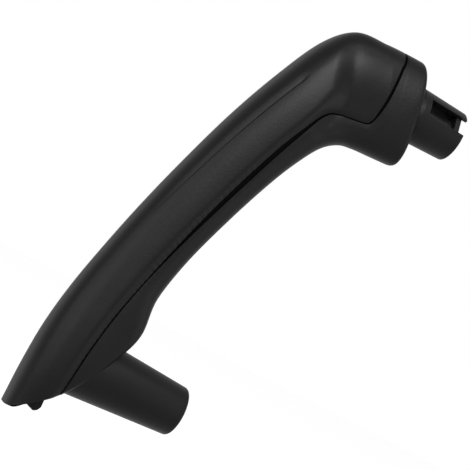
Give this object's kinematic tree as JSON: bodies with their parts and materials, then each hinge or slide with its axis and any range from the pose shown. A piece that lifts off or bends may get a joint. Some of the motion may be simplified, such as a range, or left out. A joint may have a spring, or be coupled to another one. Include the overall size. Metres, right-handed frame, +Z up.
{
  "type": "door pull handle",
  "caption": "Curved vehicle door pull handle: hollow grip cover over a ribbed carrier with a conical lower post and a slotted upper stub, each with a steel sleeve for a bolt.",
  "frame": {"origin": "centre of the lower post's end, on the lower bolt's axis, where the post meets the door", "axes": "+X across the handle, square to its middle plane; +Y into the door along both bolts; +Z up the handle from the lower post to the upper stub"},
  "size_m": [0.0324, 0.1336, 0.2293],
  "materials": {
    "cover_plastic": "fine satin grain, black",
    "carrier_plastic": "plain moulded satin, black",
    "sleeve_steel": "turned, dull zinc",
    "clip_steel": "bright spring steel"
  },
  "bodies": {
    "root": {"grip_cover": "cover_plastic", "carrier": "carrier_plastic", "lower_sleeve": "sleeve_steel", "upper_sleeve": "sleeve_steel", "cover_clip_1": "clip_steel", "cover_clip_2": "clip_steel", "cover_clip_3": "clip_steel", "cover_clip_4": "clip_steel"}
  },
  "joints": []
}
